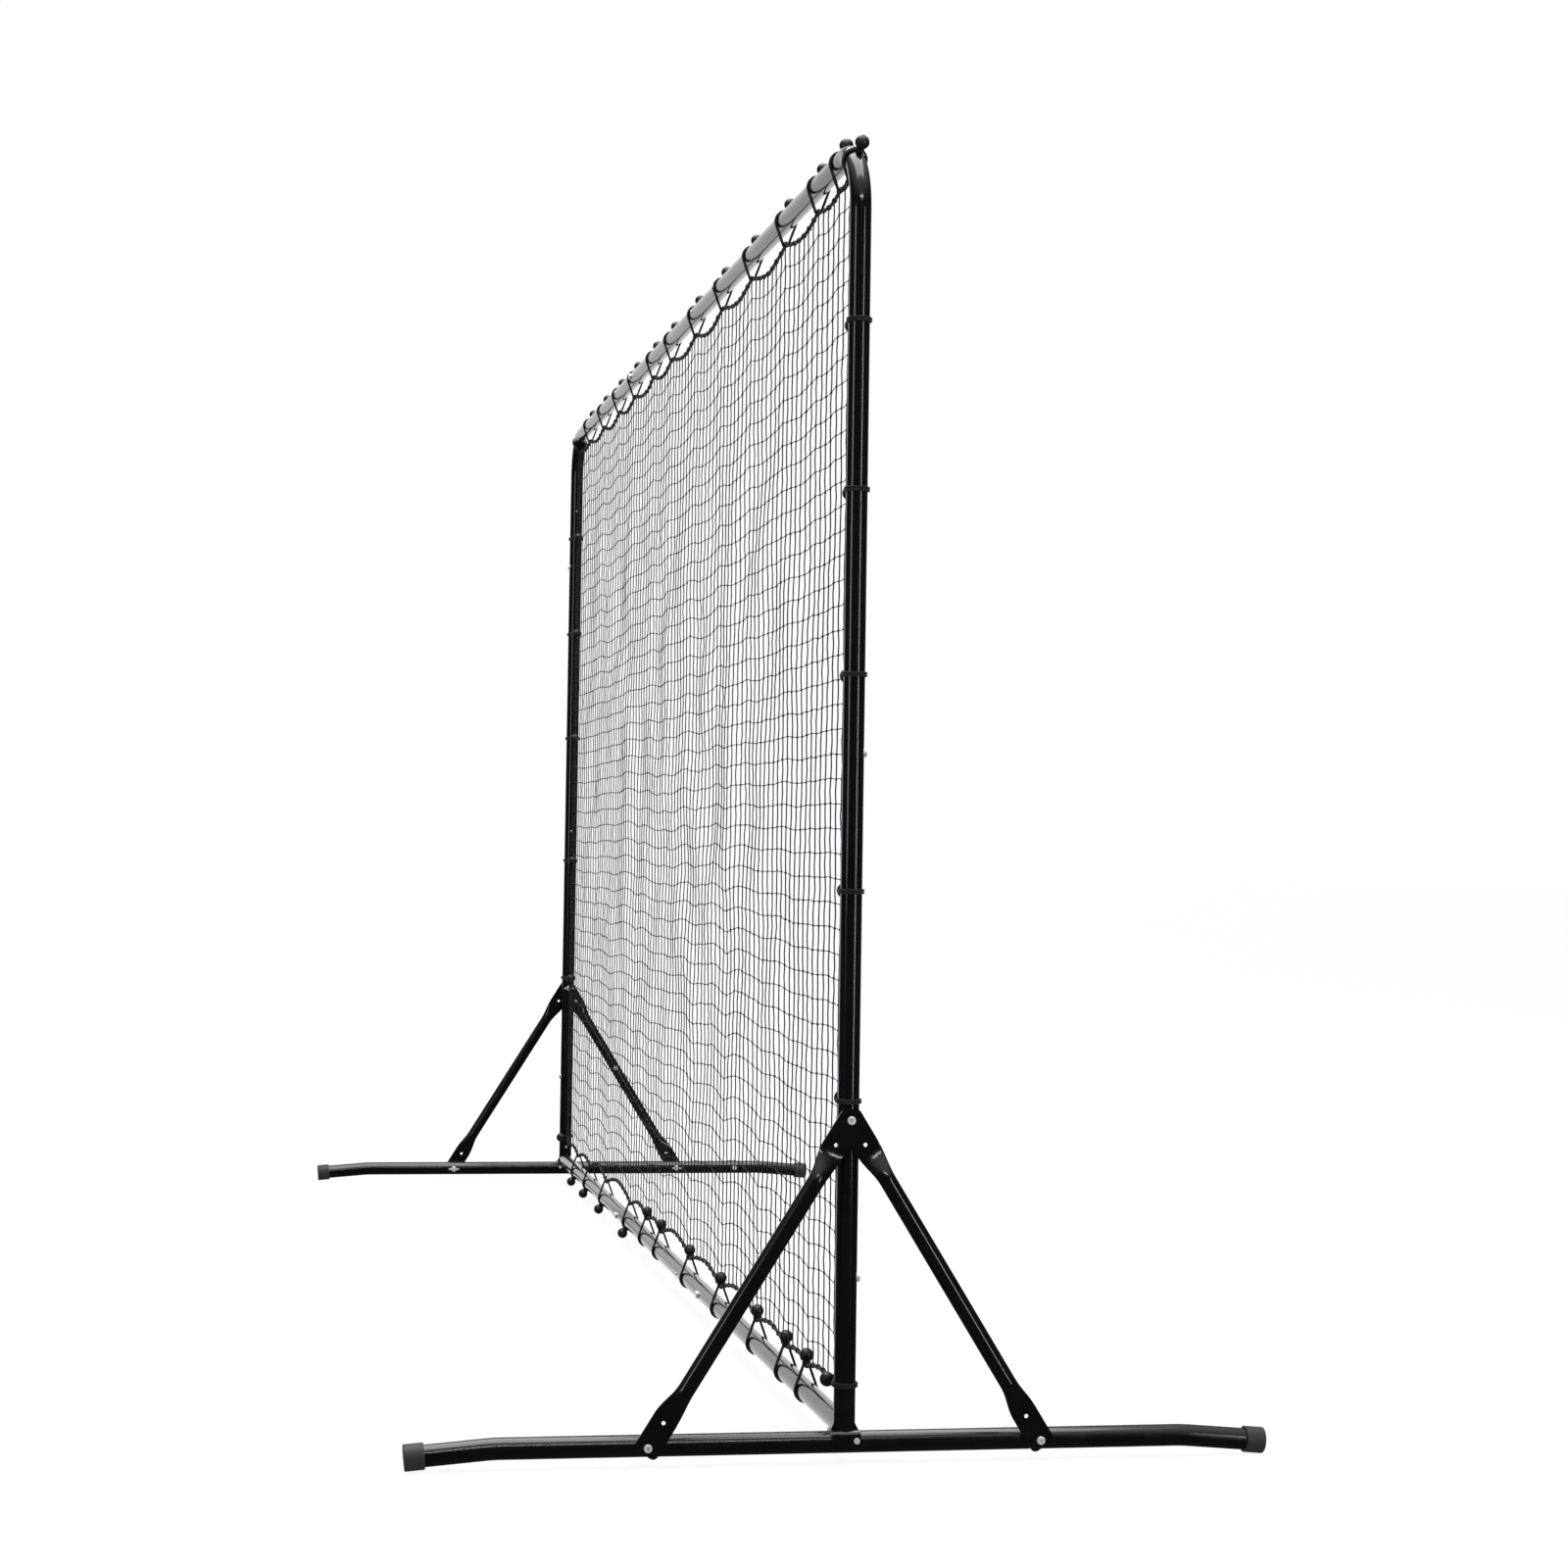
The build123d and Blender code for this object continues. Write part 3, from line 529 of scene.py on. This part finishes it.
def rope_base():
    """Closed rounded rectangle of evenly spaced points, with the inward direction at each."""
    half, low, high = rope_frame()
    middle = np.array([0.0, 0.0, (low + high) / 2])
    tall = (high - low) / 2
    line = []
    for quarter, (sx, sz) in enumerate(((1, 1), (-1, 1), (-1, -1), (1, -1))):
        for k in range(25):
            angle = math.pi / 2 * (quarter + k / 24)
            x = sx * (half - ROPE_CORNER) + ROPE_CORNER * math.cos(angle)
            z = sz * (tall - ROPE_CORNER) + ROPE_CORNER * math.sin(angle)
            line.append((x, 0.0, z))
    line = np.array(line + line[:1])
    run = np.concatenate(([0.0], np.cumsum(np.linalg.norm(np.diff(line, axis=0), axis=1))))
    count = int(run[-1] / ROPE_STEP)
    at = np.linspace(0, run[-1], count, endpoint=False)
    points = np.stack([np.interp(at, run, line[:, k]) for k in range(3)], -1)
    along = tangents(points, True)
    inward = np.stack((-along[:, 2], np.zeros(count), along[:, 0]), -1)
    return points + middle, inward, at, run[-1]


def rope_line(found):
    """The rope pulled out to its bungees, and bowed in towards the net between them."""
    points, inward, at, total = rope_base()
    held = sorted(at[np.argmin(np.linalg.norm(points - b.rope, axis=1))] for b in found)
    edges = np.array([held[-1] - total] + held + [held[0] + total])
    spot = np.searchsorted(edges, at, side="right") - 1
    span = edges[spot + 1] - edges[spot]
    share = (at - edges[spot]) / span
    bow = np.where(np.abs(inward[:, 2]) > 0.7, RAIL_BOW, SIDE_BOW) * span
    for _ in range(BOW_BLEND):
        bow = (np.roll(bow, 1) + bow + np.roll(bow, -1)) / 3
    uneven = np.array([1 + BOW_UNEVEN * noise.noise(Vector((e * 3.1, 4.2, 0))) for e in edges])[spot]
    depth = bow * uneven * (1 - np.abs(2 * share - 1) ** BOW_SHAPE)
    slack = np.array([noise.noise(Vector(p) * 14) for p in points]) * ROPE_SLACK
    return points + inward * depth[:, None] + np.array([0.0, 1.0, 0.0]) * slack[:, None]


def make_rope(line):
    sweep = Sweep(12)
    sweep.add(line, ROPE_RADIUS, (0, 1, 0), closed=True, lobes=3, lay=ROPE_LAY, swell=ROPE_SWELL)
    return sweep.piece("rope", "border_rope", "frame", ["border_rope"])


def edge_curves(line):
    """Top and bottom height of the rope over x, and its left and right x over height."""
    half, low, high = rope_frame()

    def curve(keep, key, value):
        chosen = line[keep]
        order = np.argsort(chosen[:, key])
        return lambda q: np.interp(q, chosen[order, key], chosen[order, value])

    return (curve(line[:, 2] > high - EDGE_BAND, 0, 2), curve(line[:, 2] < low + EDGE_BAND, 0, 2),
            curve(line[:, 0] < EDGE_BAND - half, 2, 0), curve(line[:, 0] > half - EDGE_BAND, 2, 0))


def wobble(x, y, z, size):
    """Smooth noise at a point, up to about size either way."""
    return noise.noise(Vector((x, y, z))) * size


def stray(x, z):
    """How far the net's own unevenness moves a knot in the middle of the net."""
    fine = wobble(x * 31.0, 3.0, z * 29.0, 0.0022)
    sideways = wobble(x * 3.0, 9.0, z * 2.2, 0.005) + fine
    upwards = wobble(x * 2.1, 1.7, z * 1.3, 0.012) + wobble(x * 8.0, 5.0, z * 1.5, 0.006) + fine
    return np.array((sideways, wobble(x * 5.0, 2.0, z * 5.0, 0.006), upwards))


def freedom(i, j):
    """0 on the rope and 1 well inside the net."""
    across, up = i / MESH_COLUMNS, j / MESH_ROWS
    return min(1.0, 4 * up, 4 * (1 - up)) * min(1.0, 6 * across, 6 * (1 - across))


def knot_grid(line):
    """Place of every knot, rows by columns, the outer ones on the rope."""
    half, low, high = rope_frame()
    top, bottom, left, right = edge_curves(line)
    x0 = np.linspace(-half, half, MESH_COLUMNS + 1)
    z0 = np.linspace(low, high, MESH_ROWS + 1)
    x_in = np.clip(x0, -half + ROPE_CORNER, half - ROPE_CORNER)
    z_in = np.clip(z0, low + ROPE_CORNER, high - ROPE_CORNER)
    top_gap, bottom_gap = high - top(x_in), bottom(x_in) - low
    left_gap, right_gap = left(z_in) + half, half - right(z_in)
    grid = np.zeros((MESH_ROWS + 1, MESH_COLUMNS + 1, 3))
    for i, x in enumerate(x0):
        from_left, from_right = math.exp(-(x + half) / SIDE_REACH), math.exp(-(half - x) / SIDE_REACH)
        for j, z in enumerate(z0):
            from_top, from_bottom = math.exp(-(high - z) / BOW_REACH), math.exp(-(z - low) / BOW_REACH)
            pull = left_gap[j] * from_left - right_gap[j] * from_right
            lift = bottom_gap[i] * from_bottom - top_gap[i] * from_top
            grid[j, i] = np.array((x + pull, 0.0, z + lift)) + stray(x, z) * freedom(i, j)
    grid[-1, :, 2] = top(x0)
    grid[0, :, 2] = bottom(x0)
    grid[:, 0, 0] = left(z0)
    grid[:, -1, 0] = right(z0)
    return grid


def strand(knots):
    """Line through knots, with a little slack between each two."""
    points = [knots[0]]
    for a, b in zip(knots, knots[1:]):
        sag = np.array([rng.uniform(-1, 1), rng.uniform(-1, 1), rng.uniform(-1, 1)]) * STRAND_SLACK
        points += [(a + b) / 2 + sag, b]
    return np.array(points)


def make_net(line):
    grid = knot_grid(line)
    rows, columns = Sweep(5), Sweep(5)
    for j in range(1, MESH_ROWS):
        rows.add(strand(list(grid[j])), ROW_RADIUS, (0, 1, 0))
    for i in range(1, MESH_COLUMNS):
        columns.add(strand(list(grid[:, i])), COLUMN_RADIUS, (0, 1, 0))
    rows.piece("net_rows", "net_twine", "frame", ["net"])
    columns.piece("net_columns", "net_twine", "frame")
    make_knots(grid)
    make_ties(grid, line)


def make_knots(grid):
    """A small lumpy bend of twine wherever two strands cross."""
    points, faces = turned([(0.0, -1.0), (0.72, -0.62), (1.0, 0.0), (0.72, 0.62), (0.0, 1.0)], 7)
    shape = np.array(points) * KNOT_RADIUS
    all_points, all_faces = [], []
    for j in range(1, MESH_ROWS):
        for i in range(1, MESH_COLUMNS):
            axis = Vector((rng.gauss(0, 1), rng.gauss(0, 1), rng.gauss(0, 1)))
            turn = np.array(axis.to_track_quat("Z", "Y").to_matrix())
            size = np.array([1.0, rng.uniform(0.75, 1.0), rng.uniform(1.0, 1.35)])
            start = len(all_points)
            all_points += ((shape * size) @ turn.T + grid[j, i]).tolist()
            all_faces += [tuple(k + start for k in f) for f in faces]
    mesh = bpy.data.meshes.new("net_knots")
    mesh.from_pydata(all_points, [], all_faces)
    mesh.polygons.foreach_set("use_smooth", np.ones(len(mesh.polygons), bool))
    mesh.materials.append(MATERIALS["net_twine"])
    return place("net_knots", mesh, "net_twine", "frame")


def make_ties(grid, line):
    """Twine wound round the rope where each strand of the net ends."""
    sweep = Sweep(5)
    along = tangents(line, True)
    ends = [grid[0, i] for i in range(1, MESH_COLUMNS)] + [grid[-1, i] for i in range(1, MESH_COLUMNS)]
    ends += [grid[j, 0] for j in range(1, MESH_ROWS)] + [grid[j, -1] for j in range(1, MESH_ROWS)]
    for end in ends:
        k = int(np.argmin(np.linalg.norm(line - end, axis=1)))
        turns = rng.choice((1.5, 2.0, 2.5))
        s = np.linspace(-0.5, 0.5, int(turns * 9))
        side = np.array([0.0, 1.0, 0.0])
        up = np.cross(along[k], side)
        angle = s * turns * 2 * np.pi + rng.uniform(0, 6)
        reach = ROPE_RADIUS + TIE_RADIUS
        helix = line[k] + s[:, None] * along[k] * turns * TIE_PITCH
        helix = helix + reach * (np.cos(angle)[:, None] * side + np.sin(angle)[:, None] * up)
        sweep.add(helix, TIE_RADIUS, along[k])
    return sweep.piece("net_ties", "net_twine", "frame")


# Stage

def set_camera():
    a, b, c = (math.radians(v) for v in (CAMERA_TURN, -CAMERA_RISE, CAMERA_ROLL))
    ahead = Vector((-math.cos(a) * math.cos(b), math.sin(a) * math.cos(b), -math.sin(b)))
    right = ahead.cross(Vector((0, 0, 1))).normalized()
    up = right.cross(ahead)
    right, up = right * math.cos(c) + up * math.sin(c), up * math.cos(c) - right * math.sin(c)
    data = bpy.data.cameras.new("camera")
    data.lens = CAMERA_LENS
    data.sensor_width = 36.0
    data.shift_x, data.shift_y = CAMERA_SHIFT
    camera = bpy.data.objects.new("camera", data)
    turn = Matrix((right, up, -ahead)).transposed().to_4x4()
    camera.matrix_world = Matrix.Translation(CAMERA_PLACE) @ turn
    bpy.context.scene.collection.objects.link(camera)
    bpy.context.scene.camera = camera


def area_light(name, place, target, size, power, colour=(1, 1, 1)):
    data = bpy.data.lights.new(name, "AREA")
    data.shape = "RECTANGLE"
    data.size, data.size_y = size
    data.energy = power
    data.color = colour
    light = bpy.data.objects.new(name, data)
    light.location = place
    light.rotation_mode = "QUATERNION"
    light.rotation_quaternion = (Vector(place) - Vector(target)).to_track_quat("Z", "Y")
    light.visible_camera = False
    bpy.context.scene.collection.objects.link(light)


def set_world():
    """White to the eye. In reflections, bright beyond the net's far end and overhead, and dim elsewhere."""
    world = bpy.data.worlds.new("studio")
    bpy.context.scene.world = world
    world.use_nodes = True
    tree = world.node_tree
    background = tree.nodes["Background"]
    coords = tree.nodes.new("ShaderNodeTexCoord")
    split = tree.nodes.new("ShaderNodeSeparateXYZ")
    tree.links.new(coords.outputs["Generated"], split.inputs[0])

    def ranged(socket, low, high, start, end):
        node = tree.nodes.new("ShaderNodeMapRange")
        node.interpolation_type = "SMOOTHSTEP"
        for name, value in zip(("From Min", "From Max", "To Min", "To Max"), (low, high, start, end)):
            node.inputs[name].default_value = value
        tree.links.new(socket, node.inputs["Value"])
        return node.outputs["Result"]

    def combine(operation, a, b):
        node = tree.nodes.new("ShaderNodeMath")
        node.operation = operation
        tree.links.new(a, node.inputs[0])
        tree.links.new(b, node.inputs[1])
        return node.outputs[0]

    far_end = ranged(split.outputs[0], -0.80, -0.95, 0.0, 1.0)
    overhead = ranged(split.outputs[2], 0.35, 0.95, 0.05, 0.9)
    path = tree.nodes.new("ShaderNodeLightPath")
    glossy = combine("MAXIMUM", far_end, overhead)
    tree.links.new(combine("MAXIMUM", glossy, path.outputs["Is Camera Ray"]), background.inputs["Strength"])
    background.inputs["Color"].default_value = (1.0, 1.0, 1.0, 1.0)


def make_floor():
    """Pale studio floor, a wide disc with a faint mottle."""
    points, faces = turned([(0.0, 0.0), (4.0, 0.0), (16.0, 0.0), (60.0, 0.0)], 48)
    mesh = bpy.data.meshes.new("floor")
    mesh.from_pydata(points, [], faces)
    n = Nodes("floor_paint")
    mottle = n.noise(1.5, 4.0)
    n.bump(n.noise(80.0, 3.0), 0.05, 0.001)
    paint = n.finish(n.ramp(mottle, 0.11, 0.12), n.ramp(mottle, 0.7, 0.8), Specular_IOR_Level=0.1,
                     Emission_Color=(1, 1, 1, 1), Emission_Strength=0.90)
    mesh.materials.append(paint)
    floor = bpy.data.objects.new("floor", mesh)
    floor.location.z = cad_box[0].z - FLOOR_DROP
    floor.visible_glossy = False
    bpy.context.scene.collection.objects.link(floor)


def set_stage():
    bpy.context.scene.view_settings.view_transform = "Standard"
    set_world()
    make_floor()
    area_light("overhead", (0, 0, 6.5), (0, 0, 0), (8.0, 5.0), 520)
    area_light("strip", (7.2, 3.6, 1.6), (1.8, 0, 1.1), (0.45, 3.6), 60)
    area_light("high_strip", (8.0, 0.0, 5.5), (1.8, 0, 0), (4.0, 0.25), 70)
    area_light("left_fill", (5.0, -7.0, 2.4), (0, 0, 1.0), (1.6, 3.2), 60, (0.86, 0.93, 1.0))


paint_frame()
found = make_bungees()
line = rope_line(found)
make_rope(line)
make_net(line)
set_camera()
set_stage()
